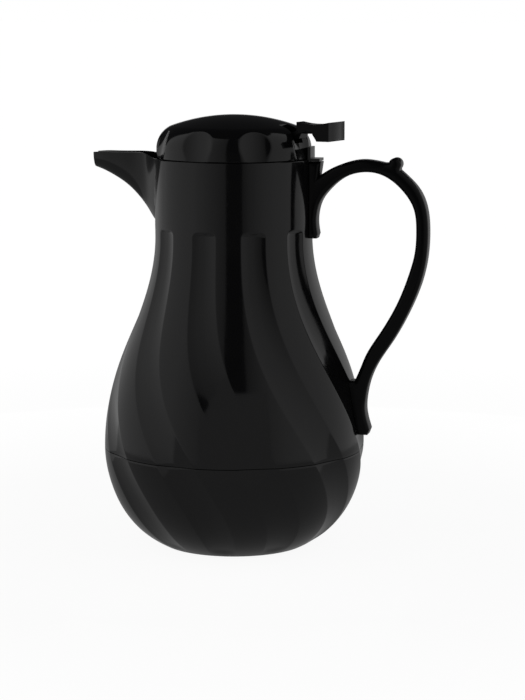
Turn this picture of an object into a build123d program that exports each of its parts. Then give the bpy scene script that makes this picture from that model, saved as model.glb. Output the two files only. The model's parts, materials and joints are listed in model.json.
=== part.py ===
from build123d import *

import os
from math import cos, radians, sin, sqrt

# Thermal serving carafe with a twist-off lid and a thumb lever that opens the pour valve.
# Millimetres. +Z is up, the handle points to +X and the spout to -X.
# The origin is the middle of the flat base, on the surface that the carafe stands on.

# Outer body
rim_z = 220.0                # top edge of the neck
shoulder_z = 176.0           # where the straight neck starts to swell
seam_z = 56.0                # joint between the two outer shells, at the widest place
neck_r = 44.6
belly_r = 74.1
base_r = 41.5                # where the bowl meets its flat underside
shell_wall = 2.4
seam_gap = 0.3

# Along the shoulder: share of the drop, share of the swell, tilt of the surface in degrees
shoulder_stations = ((0.297, 0.226, 20), (0.533, 0.605, 21), (0.738, 0.868, 14))
# Along the bowl: share of the drop, share of the way in to the base, tilt in degrees
bowl_stations = ((0.355, 0.092, 17), (0.561, 0.226, 30), (0.839, 0.587, 47))
bowl_end_tilt = 64

# Lip of the lower shell that stands up inside the upper one
lip_foot_z = 48.0
lip_top_z = 62.0
lip_wall = 1.7
lip_gap = 0.15

# Swirl flutes
flute_count = 10
flute_depth = 1.4
flute_half_angle = 9.0       # degrees, at the surface
flute_wall_angle = 1.9       # degrees that each sloping side takes up
flute_phase = 9.6            # degrees from the handle to the nearest flute
flute_full_z = 177.5         # the round top of a flute starts here
flute_top_z = 182.0
flute_end_z = 5.0
swirl_top_z = 178.0
swirl_angle = 50.0           # degrees, from the top of a flute to its foot
swirl_delay = 1.4            # how long a flute stays upright before it turns

# Spout: reach from the axis, height of its underside, half width, height of its rim
spout_stations = (
    (35.0, 178.5, 25.6, 219.6),
    (43.0, 181.3, 16.4, 220.2),
    (47.3, 186.3, 11.4, 221.4),
    (50.1, 190.7, 8.9, 222.2),
    (54.0, 195.9, 7.4, 222.6),
    (62.4, 204.2, 6.9, 222.6),
    (70.2, 209.2, 6.6, 222.6),
    (76.3, 212.2, 6.2, 222.6),
    (80.8, 213.9, 5.4, 222.3),
)
spout_wall = 1.8

# Handle
handle_width = 13.0
handle_fit = 0.3             # gap between the handle's feet and the shells
beak_reach = 50.8
beak_top_z = 218.7
arch_outer = (
    (49.6, 210.8), (55.4, 214.5), (63.3, 218.0), (74.0, 220.2), (86.3, 218.6),
)
knob_centre = (92.4, 217.9)
knob_r = 3.6
back_outer = (
    (95.2, 214.6), (99.0, 211.3), (105.9, 203.7), (110.0, 194.0), (111.4, 181.1), (110.4, 165.0),
    (108.0, 154.0), (100.9, 135.9), (90.6, 117.3), (83.7, 106.8), (79.2, 97.0), (77.1, 88.0),
    (76.6, 79.5), (79.2, 68.6),
)
front_inner = (
    (49.1, 178.4), (48.3, 184.0), (48.6, 190.0), (50.8, 197.2), (55.4, 203.3), (62.9, 209.6),
    (73.5, 213.2), (83.7, 212.4), (91.6, 208.2), (98.0, 202.0), (102.9, 194.0), (104.6, 182.0),
    (103.7, 168.0), (101.1, 158.2), (94.0, 139.9), (83.4, 121.6), (77.0, 111.2), (73.1, 101.8),
    (70.5, 96.0),
)
post_foot = (48.3, 175.8)
heel = (77.9, 65.3)
handle_screw_r = 2.0
upper_screw_z = 205.0
upper_screw_tip = 55.0
lower_screw_z = 88.0
lower_screw_tip = 75.0
lower_screw_seat = 64.4
screw_head_r = 3.8
screw_head_h = 1.2
screw_boss_r = 5.2
screw_fit = 0.05

# Liner and what holds it
liner_wall = 1.6
foam_space = 8.0             # least insulation between the shells and the liner
foam_gap = 0.3
ledge_top_z = 178.0
ledge_h = 2.4
ledge_r = 34.4
flange_h = 1.8
flange_r = 41.4
gasket_h = 1.6
gasket_r = 33.4
stack_gap = 0.1

# Base
cap_r = 39.6
cap_h = 2.4
cap_gap = 0.2
cap_skirt_r = 36.0
cap_skirt_h = 4.0
cap_skirt_wall = 1.8
base_ledge_h = 1.8
plug_r = 5.0
plug_len = 5.0
plug_head_r = 8.0
plug_head_h = 1.0
plug_sunk = 0.0

# Neck collar with its rear tongue and tab
collar_gap = 0.3
collar_wall = 2.0
collar_top_z = 219.3
pour_window_half = 14.0
pour_window = (185.0, 214.0)
tongue_half = 5.5
tongue_gap = 0.3
tongue_thin = 0.8
tongue_thick = 1.6
tongue_reach = 50.3
tab_half = 6.0
tab_wall = 1.6
tab_gap = 0.4
tab_top_z = 226.9

# Lid
lid_turn = -15.0             # degrees from the handle to the lever, with the lid locked
lid_r = 43.6
lid_gap = 0.3                # between the neck rim and the lid's lower edge
lid_top_z = 244.2
lid_wall = 2.2
lid_side_z = 225.3           # top of the upright side
lid_shoulder_r = 14.0
lid_shoulder_angle = 65.0
scallop_count = 8
scallop_depth_r = 57.0       # radius of a scallop along its height
scallop_width_r = 28.0       # radius of a scallop across its width
scallop_x = -14.3            # middle of the arc along its height
scallop_z = 213.6
scallop_wall = 1.8

# Stopper
stopper_r = 39.3
stopper_inner_r = 36.8
stopper_flange_z = 222.5
stopper_flange_t = 2.0
snap_r = 39.65               # the stopper's top ring clips in behind the scallops' backs
chamber_inner_r = 35.4
chamber_floor_z = 181.5
chamber_floor_t = 2.0
window_count = 6
window_half = 10.0
window_z = (186.5, 200.0)
stopper_plug_r = 31.3
stopper_plug_inner_r = 27.6
stopper_bottom_z = 166.0
stopper_floor = 2.4
valve_hole_r = 13.0
seal_z = 170.0
seal_wire_r = 1.4
seal_gap = 0.2

# Guide plate and its screws
guide_z = 204.0
guide_t = 2.0
guide_hub_r = 6.5
guide_hub_z = (199.0, 211.0)
guide_screw_count = 3
guide_screw_turn = 30.0
guide_screw_circle_r = 32.4
guide_screw_r = 1.2
guide_screw_len = 9.0
guide_head_r = 2.6
guide_head_h = 1.5
guide_boss_r = 3.4
guide_boss_h = 11.0

# Valve
seat_gap = 0.15
stem_r = 2.5
stem_fit = 0.08
stem_top_z = 236.4
valve_r = 16.0
valve_t = 2.4
valve_hub_r = 4.2
valve_hub_h = 4.0
valve_seal_t = 1.4
valve_seal_inner_r = 11.5
clip_r = 4.6
clip_groove_r = 1.7
clip_t = 1.2
clip_mouth = 2.6
spring_inner_r = 4.5
spring_wire = 1.1
spring_gap = 0.2

# Thumb lever
pivot_x = 28.0
pivot_z = 232.0
pin_r = 1.5
pin_fit = 0.06
lever_half = 4.5
hub_r = 3.2
arm_top_z = 233.8
arm_bottom_z = 230.2
arm_end_x = -2.6
crank_x = (34.5, 35.5)       # where the arm's top and underside start to rise
bar_root_z = 236.6
bar_bottom_z = 235.0
bar_bottom_x = 44.5
root_x = 41.7
root_top_z = 241.3
saddle = (52.0, 240.2)       # lowest place of the dished top
paddle_half = 10.0
paddle_end_x = 64.2
paddle_heel_x = 56.8
paddle_neck_x = 54.2
paddle_bottom_z = 231.2
paddle_top_z = 241.7
slot_gap = 0.5
slot_inner_x = 31.0
slot_bottom_z = 229.4
ear_t = 2.4
ear_half = 4.0
ear_drop = 3.4
fork_gap = 0.4
fork_depth = 3.9
clip_lift_gap = 0.3

# Worked out from the sizes above
neck_inner_r = neck_r - shell_wall
collar_outer_r = neck_inner_r - collar_gap
collar_inner_r = collar_outer_r - collar_wall
collar_bottom_z = ledge_top_z + stack_gap
lid_bottom_z = rim_z + lid_gap
liner_inset = shell_wall + foam_space
mouth_r = neck_r - liner_inset - liner_wall
gasket_top_z = ledge_top_z - ledge_h - stack_gap
flange_top_z = gasket_top_z - gasket_h - stack_gap
tongue_z = beak_top_z + tongue_gap
valve_seat_z = stopper_bottom_z + stopper_floor
valve_seal_z = valve_seat_z + seat_gap
valve_disc_z = valve_seal_z + valve_seal_t
spring_z = (valve_disc_z + valve_t + spring_gap, guide_hub_z[0] - spring_gap)
clip_z = arm_top_z + clip_lift_gap
lever_side = Plane(origin=(0, 0, 0), x_dir=(cos(radians(lid_turn)), sin(radians(lid_turn)), 0),
                   z_dir=(sin(radians(lid_turn)), -cos(radians(lid_turn)), 0))


def swirl(z):
    """Degrees that the flutes have turned at a height, eased in and out."""
    drop = min(max((swirl_top_z - z) / swirl_top_z, 0), 1) ** swirl_delay
    return swirl_angle * drop * drop * (3 - 2 * drop)


def shoulder_curve(inset=0.0):
    """Outline from the foot of the neck to the seam, moved inwards by inset."""
    points = [(neck_r - inset, shoulder_z)]
    for drop, swell, tilt in shoulder_stations:
        r = neck_r + (belly_r - neck_r) * swell - inset * cos(radians(tilt))
        z = shoulder_z - (shoulder_z - seam_z) * drop - inset * sin(radians(tilt))
        points.append((r, z))
    points.append((belly_r - inset, seam_z))
    return Spline(*points, tangents=((0, -1), (0, -1)))


def bowl_curve(inset=0.0):
    """Outline from the seam to the flat base, moved inwards by inset."""
    points = [(belly_r - inset, seam_z)]
    for drop, narrowing, tilt in bowl_stations:
        r = belly_r - (belly_r - base_r) * narrowing - inset * cos(radians(tilt))
        z = seam_z * (1 - drop) + inset * sin(radians(tilt))
        points.append((r, z))
    tilt = radians(bowl_end_tilt)
    points.append((base_r - inset * cos(tilt), inset * sin(tilt)))
    return Spline(*points, tangents=((0, -1), (-sin(tilt), -cos(tilt))))


shoulder = shoulder_curve()
bowl = bowl_curve()


def upper_section(inset, top, bottom):
    """Half section of the neck and shoulder down to a height at or below the seam."""
    with BuildSketch(Plane.XZ) as section:
        with BuildLine():
            shoulder_curve(inset)
            points = [(0, bottom), (0, top), (neck_r - inset, top), (neck_r - inset, shoulder_z)]
            if bottom < seam_z:
                points.insert(0, (belly_r - inset, bottom))
            Polyline((belly_r - inset, seam_z), *points)
        make_face()
    return section.sketch


def lower_section(inset, top):
    """Half section of the bowl up to a height above the seam."""
    with BuildSketch(Plane.XZ) as section:
        with BuildLine():
            curve = bowl_curve(inset)
            points = [(0, (curve @ 1).Y), (0, top), (belly_r - inset, seam_z)]
            if top > seam_z:
                points.insert(2, (belly_r - inset, top))
            Polyline(curve @ 1, *points)
        make_face()
    return section.sketch


def outline_section(*points):
    """Half section with straight sides."""
    with BuildSketch(Plane.XZ) as section:
        with BuildLine():
            Polyline(*points, close=True)
        make_face()
    return section.sketch


def ring_section(inner, outer, low, high):
    """Half section of a plain ring."""
    return outline_section((inner, low), (outer, low), (outer, high), (inner, high))


def radius_at(curve, z):
    """Radius of an outline at a height, found by halving; upright above its start."""
    start, end = 0.0, 1.0
    if z >= (curve @ 0).Y:
        return (curve @ 0).X
    for _ in range(40):
        middle = (start + end) / 2
        if (curve @ middle).Y > z:
            start = middle
        else:
            end = middle
    return (curve @ middle).X


def flute_section(r, z):
    """Cross-section of one flute at a height: a curved floor and sloping sides."""
    share = 1.0
    if z > flute_full_z:
        share = sqrt(1 - (0.9 * (z - flute_full_z) / (flute_top_z - flute_full_z)) ** 2)
    floor = radians(flute_half_angle - flute_wall_angle) * share
    mouth = radians(flute_half_angle + flute_wall_angle) * share
    inner = r - flute_depth
    outer = r + flute_depth
    turn = radians(flute_phase + swirl(z))
    plane = Plane(origin=(0, 0, z), x_dir=(cos(turn), sin(turn), 0), z_dir=(0, 0, 1))
    with BuildSketch(plane) as section:
        with BuildLine():
            ThreePointArc((inner * cos(floor), -inner * sin(floor)), (inner, 0),
                          (inner * cos(floor), inner * sin(floor)))
            Polyline((inner * cos(floor), inner * sin(floor)),
                     (outer * cos(mouth), outer * sin(mouth)),
                     (outer * cos(mouth), -outer * sin(mouth)),
                     (inner * cos(floor), -inner * sin(floor)))
        make_face()
    return section.sketch


def flute_cutters(curve, high, low, steps):
    """All the flutes between two heights, each lofted along the swirl."""
    heights = [high + (low - high) * i / steps for i in range(steps + 1)]
    if high > flute_full_z:
        round_top = flute_top_z - flute_full_z
        heights = [flute_top_z - round_top * share for share in (0, 0.3, 0.65)]
        heights += [flute_full_z + (low - flute_full_z) * i / steps for i in range(steps + 1)]
    cutter = loft([flute_section(radius_at(curve, z), z) for z in heights])
    return [Rot(0, 0, k * 360 / flute_count) * cutter for k in range(flute_count)]


def spout_section(station, inset, raised):
    """Upright section across the spout: the lower half of an ellipse with a flat or tall top."""
    reach, keel_z, half_width, top_z = station
    width = half_width - inset
    depth = top_z - keel_z - inset
    plane = Plane(origin=(-reach, 0, top_z), x_dir=(0, 1, 0), z_dir=(-1, 0, 0))
    with BuildSketch(plane) as section:
        with BuildLine():
            EllipticalCenterArc((0, 0), width, depth, start_angle=0, arc_size=180)
            if raised:
                Polyline((-width, 0), (-width, -raised), (width, -raised), (width, 0))
            else:
                Line((-width, 0), (width, 0))
        make_face()
    return section.sketch


def along_x(start, z=0.0):
    """Plane that faces +X, for round pieces that lie along the handle's direction."""
    return Plane(origin=(start, 0, z), x_dir=(0, 1, 0), z_dir=(1, 0, 0))


def screw_space(seat, tip, z, extra):
    """Shank and head of one handle screw, or the hole for it when extra is added."""
    with BuildPart() as space:
        with Locations(along_x(seat, z)):
            Cylinder(handle_screw_r + extra, tip - seat + extra,
                     align=(Align.CENTER, Align.CENTER, Align.MIN))
        with Locations(along_x(seat - screw_head_h - extra, z)):
            Cylinder(screw_head_r + extra, screw_head_h + extra,
                     align=(Align.CENTER, Align.CENTER, Align.MIN))
    return space.part


def lid_section(inset):
    """Half section of the domed lid, moved inwards by inset."""
    with BuildSketch(Plane.XZ) as section:
        with BuildLine():
            side = Line((lid_r - inset, lid_bottom_z - inset), (lid_r - inset, lid_side_z))
            arc = JernArc(start=side @ 1, tangent=(0, 1), radius=lid_shoulder_r - inset,
                          arc_size=lid_shoulder_angle)
            TangentArc((0, lid_top_z - inset), arc @ 1, tangent=(1, 0))
            Polyline((0, lid_top_z - inset), (0, lid_bottom_z - inset), side @ 0)
        make_face()
    return section.sketch


def scallops(extra):
    """Finger scallops round the lid; extra makes the same shapes fatter for the inside."""
    found = []
    for k in range(scallop_count):
        turn = lid_turn + k * 360 / scallop_count
        ring = Torus(scallop_depth_r + scallop_width_r, scallop_width_r + extra,
                     mode=Mode.PRIVATE)
        found.append(Rot(0, 0, turn) * Pos(scallop_x, 0, scallop_z) * Rot(90, 0, 0) * ring)
    return found


def across_lever(low_x, high_x, low_z, high_z, low_y, high_y):
    """Box given in the lever's own directions: outwards, up, and across to one side."""
    box = Box(high_x - low_x, high_y - low_y, high_z - low_z,
              align=(Align.MIN, Align.MIN, Align.MIN), mode=Mode.PRIVATE)
    return Rot(0, 0, lid_turn) * Pos(low_x, low_y, low_z) * box


def finish(piece, name):
    """Label a piece and write its file."""
    piece.part.label = name
    export_step(piece.part, f"parts/{name}.step")
    print(name, round(piece.part.volume), len(piece.part.solids()))


os.makedirs("parts", exist_ok=True)

# Shapes made outside the blocks, ready to be cut away or kept
upper_flutes = flute_cutters(shoulder, flute_top_z, seam_z - 1, 14)
lower_flutes = flute_cutters(bowl, seam_z + 1, flute_end_z, 9)
spout_form = loft([spout_section(s, 0, 0) for s in spout_stations], ruled=True)
tip = spout_stations[-1]
trough_stations = list(spout_stations)
trough_stations.append((tip[0] + 4, tip[1] + 0.6, tip[2] - 0.3, tip[3]))
trough_form = loft([spout_section(s, spout_wall, 4) for s in trough_stations], ruled=True)
upper_screw = screw_space(collar_inner_r + screw_head_h + 0.1, upper_screw_tip, upper_screw_z, 0)
upper_screw_hole = screw_space(collar_inner_r + screw_head_h + 0.1, upper_screw_tip,
                               upper_screw_z, screw_fit)
lower_screw = screw_space(lower_screw_seat - 0.05, lower_screw_tip, lower_screw_z, 0)
lower_screw_hole = screw_space(lower_screw_seat - 0.05, lower_screw_tip, lower_screw_z, screw_fit)

# Upper shell: neck, spout and fluted shoulder
with BuildPart() as upper_shell:
    revolve(upper_section(0, rim_z, seam_z), axis=Axis.Z)
    add(spout_form)
    revolve(upper_section(shell_wall, rim_z + 5, seam_z - 5), axis=Axis.Z, mode=Mode.SUBTRACT)
    revolve(ring_section(0, belly_r + 5, seam_z - 5, seam_z + seam_gap / 2), axis=Axis.Z,
            mode=Mode.SUBTRACT)
    add(trough_form, mode=Mode.SUBTRACT)
    add(upper_flutes, mode=Mode.SUBTRACT)
    revolve(ring_section(0, lid_r + lid_gap, rim_z, rim_z + 5), axis=Axis.Z, mode=Mode.SUBTRACT)
    revolve(ring_section(ledge_r, neck_r - shell_wall / 2, ledge_top_z - ledge_h, ledge_top_z),
            axis=Axis.Z)
    with Locations(along_x(lower_screw_seat, lower_screw_z)):
        Cylinder(screw_boss_r, radius_at(shoulder, lower_screw_z) - 1.2 - lower_screw_seat,
                 align=(Align.CENTER, Align.CENTER, Align.MIN))
    add([upper_screw_hole, lower_screw_hole], mode=Mode.SUBTRACT)
    with Locations((neck_r, 0, rim_z)):
        Box(4 * shell_wall, 2 * (tongue_half + tongue_gap), 2 * (rim_z - beak_top_z),
            mode=Mode.SUBTRACT)
finish(upper_shell, "upper_shell")

# Lower shell: fluted bowl with a lip that stands up inside the upper shell
with BuildPart() as lower_shell:
    revolve(lower_section(0, seam_z), axis=Axis.Z)
    revolve(ring_section(0, belly_r + 5, seam_z - seam_gap / 2, seam_z + 5), axis=Axis.Z,
            mode=Mode.SUBTRACT)
    add(lower_flutes, mode=Mode.SUBTRACT)
    revolve(lower_section(shell_wall, seam_z + 5), axis=Axis.Z, mode=Mode.SUBTRACT)
    lip_r = belly_r - shell_wall - lip_gap
    revolve(outline_section((lip_r - lip_wall, lip_foot_z), (lip_r + 1, lip_foot_z),
                            (lip_r + 1, seam_z - 1), (lip_r, seam_z), (lip_r, lip_top_z),
                            (lip_r - lip_wall, lip_top_z)), axis=Axis.Z)
    revolve(ring_section(cap_skirt_r + cap_gap, base_r, cap_h + cap_gap,
                         cap_h + cap_gap + base_ledge_h), axis=Axis.Z)
    with Locations((0, 0, -1)):
        Cylinder(cap_r + cap_gap, cap_h + cap_gap + 1, mode=Mode.SUBTRACT,
                 align=(Align.CENTER, Align.CENTER, Align.MIN))
finish(lower_shell, "lower_shell")

# Base cap: flat underside, a skirt that presses into the lower shell, a hole for the foam
with BuildPart() as base_cap:
    revolve(ring_section(plug_r + cap_gap, cap_r, 0, cap_h), axis=Axis.Z)
    revolve(ring_section(cap_skirt_r - cap_skirt_wall, cap_skirt_r, cap_h, cap_h + cap_skirt_h),
            axis=Axis.Z)
    revolve(ring_section(0, plug_head_r + cap_gap, -1, plug_sunk + plug_head_h), axis=Axis.Z,
            mode=Mode.SUBTRACT)
finish(base_cap, "base_cap")

with BuildPart() as foam_fill_plug:
    revolve(ring_section(0, plug_head_r, plug_sunk, plug_sunk + plug_head_h - 0.1), axis=Axis.Z)
    revolve(ring_section(0, plug_r, plug_sunk, plug_sunk + plug_len), axis=Axis.Z)
finish(foam_fill_plug, "foam_fill_plug")

# Inner liner: a bottle that hangs by its flange under the ledge in the neck
with BuildPart() as inner_liner:
    revolve(upper_section(liner_inset, rim_z, seam_z), axis=Axis.Z)
    revolve(ring_section(0, neck_r, flange_top_z, rim_z + 5), axis=Axis.Z, mode=Mode.SUBTRACT)
    revolve(lower_section(liner_inset, seam_z), axis=Axis.Z)
    revolve(ring_section(mouth_r, flange_r, flange_top_z - flange_h, flange_top_z), axis=Axis.Z)
    revolve(upper_section(liner_inset + liner_wall, rim_z, seam_z), axis=Axis.Z,
            mode=Mode.SUBTRACT)
    revolve(lower_section(liner_inset + liner_wall, seam_z), axis=Axis.Z, mode=Mode.SUBTRACT)
finish(inner_liner, "inner_liner")

# Ring that seals the liner's flange against the ledge
with BuildPart() as liner_gasket:
    revolve(ring_section(gasket_r, flange_r, gasket_top_z - gasket_h, gasket_top_z), axis=Axis.Z)
finish(liner_gasket, "liner_gasket")

# Foam between the shells and the liner
with BuildPart() as foam_insulation:
    fill = shell_wall + foam_gap
    foam_top_z = flange_top_z - flange_h - foam_gap
    foam_low_z = cap_h + cap_skirt_h + foam_gap
    revolve(upper_section(fill, rim_z, seam_z), axis=Axis.Z)
    revolve(lower_section(fill, seam_z), axis=Axis.Z)
    revolve(upper_section(liner_inset - foam_gap, rim_z + 5, seam_z), axis=Axis.Z,
            mode=Mode.SUBTRACT)
    revolve(ring_section(0, neck_r, foam_top_z, rim_z + 5), axis=Axis.Z, mode=Mode.SUBTRACT)
    revolve(lower_section(liner_inset - foam_gap, seam_z), axis=Axis.Z, mode=Mode.SUBTRACT)
    revolve(ring_section(0, belly_r, -5, foam_low_z), axis=Axis.Z, mode=Mode.SUBTRACT)
    revolve(ring_section(belly_r - shell_wall - lip_gap - lip_wall - foam_gap, belly_r + 5,
                         lip_foot_z - foam_gap, lip_top_z + foam_gap), axis=Axis.Z,
            mode=Mode.SUBTRACT)
    with Locations(along_x(lower_screw_seat - screw_head_h - 2 * foam_gap, lower_screw_z)):
        Cylinder(screw_boss_r + foam_gap, 20, mode=Mode.SUBTRACT,
                 align=(Align.CENTER, Align.CENTER, Align.MIN))
finish(foam_insulation, "foam_insulation")

# Handle: one moulding with a hooked top, a thumb knob and two feet that follow the shells
with BuildPart() as handle:
    with BuildSketch(Plane.XZ) as side:
        with BuildLine():
            Polyline(back_outer[-1], heel, (heel[0] - 15, heel[1]), (heel[0] - 15, front_inner[-1][1]),
                     front_inner[-1])
            Spline(*front_inner)
            Polyline(front_inner[0], post_foot, (post_foot[0] - 6, post_foot[1]),
                     (post_foot[0] - 6, beak_top_z), (beak_reach, beak_top_z), arch_outer[0])
            Spline(*arch_outer)
            Line(arch_outer[-1], back_outer[0])
            Spline(*back_outer)
        make_face()
        with Locations(knob_centre):
            Circle(knob_r)
    extrude(amount=handle_width / 2, both=True)
    revolve(upper_section(-handle_fit, rim_z + 5, seam_z), axis=Axis.Z, mode=Mode.SUBTRACT)
    add([upper_screw_hole, lower_screw_hole], mode=Mode.SUBTRACT)
finish(handle, "handle")

with BuildPart() as handle_screws:
    add([upper_screw, lower_screw])
finish(handle_screws, "handle_screws")

# Neck collar: lines the neck, with a pour window, a tongue over the handle and an upright tab
with BuildPart() as neck_collar:
    revolve(ring_section(collar_inner_r, collar_outer_r, collar_bottom_z, collar_top_z),
            axis=Axis.Z)
    with Locations((-neck_r, 0, sum(pour_window) / 2)):
        Box(30, 2 * pour_window_half, pour_window[1] - pour_window[0], mode=Mode.SUBTRACT)
    tab_r = lid_r + tab_gap
    with BuildSketch(Plane.XY.offset(tongue_z)):
        Circle(tab_r + tab_wall)
        Circle(collar_inner_r, mode=Mode.SUBTRACT)
        with Locations((neck_r, 0)):
            Rectangle(neck_r, 2 * tongue_half, mode=Mode.INTERSECT)
    extrude(amount=tongue_thin)
    with BuildSketch(Plane.XY.offset(tongue_z)):
        with Locations((neck_r, 0)):
            Rectangle(2 * (tongue_reach - neck_r), 2 * tongue_half)
        Circle(tab_r, mode=Mode.SUBTRACT)
    extrude(amount=tongue_thick)
    with BuildSketch(Plane.XY.offset(tongue_z)):
        Circle(tab_r + tab_wall)
        Circle(tab_r, mode=Mode.SUBTRACT)
        with Locations((neck_r, 0)):
            Rectangle(neck_r, 2 * tab_half, mode=Mode.INTERSECT)
    extrude(amount=tab_top_z - tongue_z)
    add(upper_screw_hole, mode=Mode.SUBTRACT)
finish(neck_collar, "neck_collar")

# Hollow inside of the lid: its own wall, the backs of the scallops and the ears for the pin
ear_z = pivot_z - ear_drop
with BuildPart() as lid_hollow:
    revolve(lid_section(lid_wall), axis=Axis.Z)
    add(scallops(scallop_wall), mode=Mode.SUBTRACT)
    for low_y in (lever_half + slot_gap, -lever_half - slot_gap - ear_t):
        add(across_lever(pivot_x - ear_half, pivot_x + ear_half, ear_z, lid_top_z,
                         low_y, low_y + ear_t), mode=Mode.SUBTRACT)

# Lid dome with its finger scallops and the slot for the lever
with BuildPart() as lid_dome:
    revolve(lid_section(0), axis=Axis.Z)
    add(lid_hollow.part, mode=Mode.SUBTRACT)
    revolve(ring_section(0, lid_r - lid_wall, lid_bottom_z - 3, lid_side_z), axis=Axis.Z,
            mode=Mode.SUBTRACT)
    add(scallops(0), mode=Mode.SUBTRACT)
    add(across_lever(slot_inner_x, lid_r + 5, slot_bottom_z, lid_top_z,
                     -lever_half - slot_gap, lever_half + slot_gap), mode=Mode.SUBTRACT)
    with Locations(lever_side * Location((pivot_x, pivot_z, 0))):
        Cylinder(pin_r + pin_fit, 6 * lever_half, mode=Mode.SUBTRACT)
finish(lid_dome, "lid_dome")

# Stopper under the dome: chamber with pour windows, and a plug that closes the liner's mouth
with BuildPart() as lid_stopper:
    floor_bottom_z = chamber_floor_z - chamber_floor_t
    revolve(outline_section(
        (valve_hole_r, stopper_bottom_z), (stopper_plug_r, stopper_bottom_z),
        (stopper_plug_r, floor_bottom_z), (stopper_r, floor_bottom_z),
        (stopper_r, stopper_flange_z), (snap_r, stopper_flange_z),
        (snap_r, stopper_flange_z + stopper_flange_t),
        (stopper_inner_r, stopper_flange_z + stopper_flange_t), (stopper_inner_r, guide_z - 0.1),
        (chamber_inner_r, guide_z - 0.1), (chamber_inner_r, chamber_floor_z),
        (stopper_plug_inner_r, chamber_floor_z), (stopper_plug_inner_r, valve_seat_z),
        (valve_hole_r, valve_seat_z)), axis=Axis.Z)
    with PolarLocations(guide_screw_circle_r, guide_screw_count, guide_screw_turn):
        with Locations((0, 0, guide_z - 0.1)):
            Cylinder(guide_boss_r, guide_boss_h, align=(Align.CENTER, Align.CENTER, Align.MAX))
            Cylinder(guide_screw_r + screw_fit, guide_screw_len, mode=Mode.SUBTRACT,
                     align=(Align.CENTER, Align.CENTER, Align.MAX))
    with PolarLocations(stopper_r, window_count):
        with Locations((0, 0, sum(window_z) / 2)):
            Box(14, 2 * window_half, window_z[1] - window_z[0], mode=Mode.SUBTRACT)
    seal_r = mouth_r - seal_gap - seal_wire_r
    revolve(ring_section(seal_r - seal_wire_r - 0.1, stopper_plug_r + 1,
                         seal_z - seal_wire_r - 0.1, seal_z + seal_wire_r + 0.1), axis=Axis.Z,
            mode=Mode.SUBTRACT)
finish(lid_stopper, "lid_stopper")

with BuildPart() as stopper_seal:
    with BuildSketch(Plane.XZ):
        with Locations((seal_r, seal_z)):
            Circle(seal_wire_r)
    revolve(axis=Axis.Z)
finish(stopper_seal, "stopper_seal")

# Guide plate: keeps the valve upright and closes the chamber towards the dome
with BuildPart() as valve_guide:
    revolve(ring_section(0, stopper_inner_r - 0.2, guide_z, guide_z + guide_t), axis=Axis.Z)
    revolve(ring_section(0, guide_hub_r, *guide_hub_z), axis=Axis.Z)
    revolve(ring_section(0, stem_r + stem_fit, 190, 220), axis=Axis.Z, mode=Mode.SUBTRACT)
    with PolarLocations(guide_screw_circle_r, guide_screw_count, guide_screw_turn):
        with Locations((0, 0, guide_z)):
            Cylinder(guide_screw_r + screw_fit, 3 * guide_t, mode=Mode.SUBTRACT)
finish(valve_guide, "valve_guide")

with BuildPart() as guide_screws:
    with PolarLocations(guide_screw_circle_r, guide_screw_count, guide_screw_turn):
        with Locations((0, 0, guide_z + guide_t + 0.1)):
            Cylinder(guide_screw_r, guide_screw_len, align=(Align.CENTER, Align.CENTER, Align.MAX))
            Cylinder(guide_head_r, guide_head_h, align=(Align.CENTER, Align.CENTER, Align.MIN))
finish(guide_screws, "guide_screws")

# Valve: disc and stem in one piece, its seal, the clip on top and the spring round the stem
with BuildPart() as valve_stem:
    revolve(ring_section(0, valve_r, valve_disc_z, valve_disc_z + valve_t), axis=Axis.Z)
    revolve(ring_section(0, valve_hub_r, valve_disc_z, valve_disc_z + valve_t + valve_hub_h),
            axis=Axis.Z)
    revolve(ring_section(0, valve_seal_inner_r - 0.1, valve_seal_z + 0.1, valve_disc_z),
            axis=Axis.Z)
    revolve(ring_section(0, stem_r, valve_disc_z, stem_top_z), axis=Axis.Z)
    revolve(ring_section(clip_groove_r, stem_r + 1, clip_z - 0.1, clip_z + clip_t + 0.1),
            axis=Axis.Z, mode=Mode.SUBTRACT)
finish(valve_stem, "valve_stem")

with BuildPart() as valve_seal:
    revolve(ring_section(valve_seal_inner_r, valve_r, valve_seal_z, valve_disc_z - 0.05),
            axis=Axis.Z)
finish(valve_seal, "valve_seal")

with BuildPart() as stem_clip:
    revolve(ring_section(clip_groove_r + 0.1, clip_r, clip_z, clip_z + clip_t), axis=Axis.Z)
    with Locations((-clip_r, 0, clip_z + clip_t / 2)):
        Box(2 * clip_r, clip_mouth, 2 * clip_t, mode=Mode.SUBTRACT)
finish(stem_clip, "stem_clip")

with BuildPart() as valve_spring:
    revolve(ring_section(spring_inner_r, spring_inner_r + spring_wire, *spring_z), axis=Axis.Z)
finish(valve_spring, "valve_spring")

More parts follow.
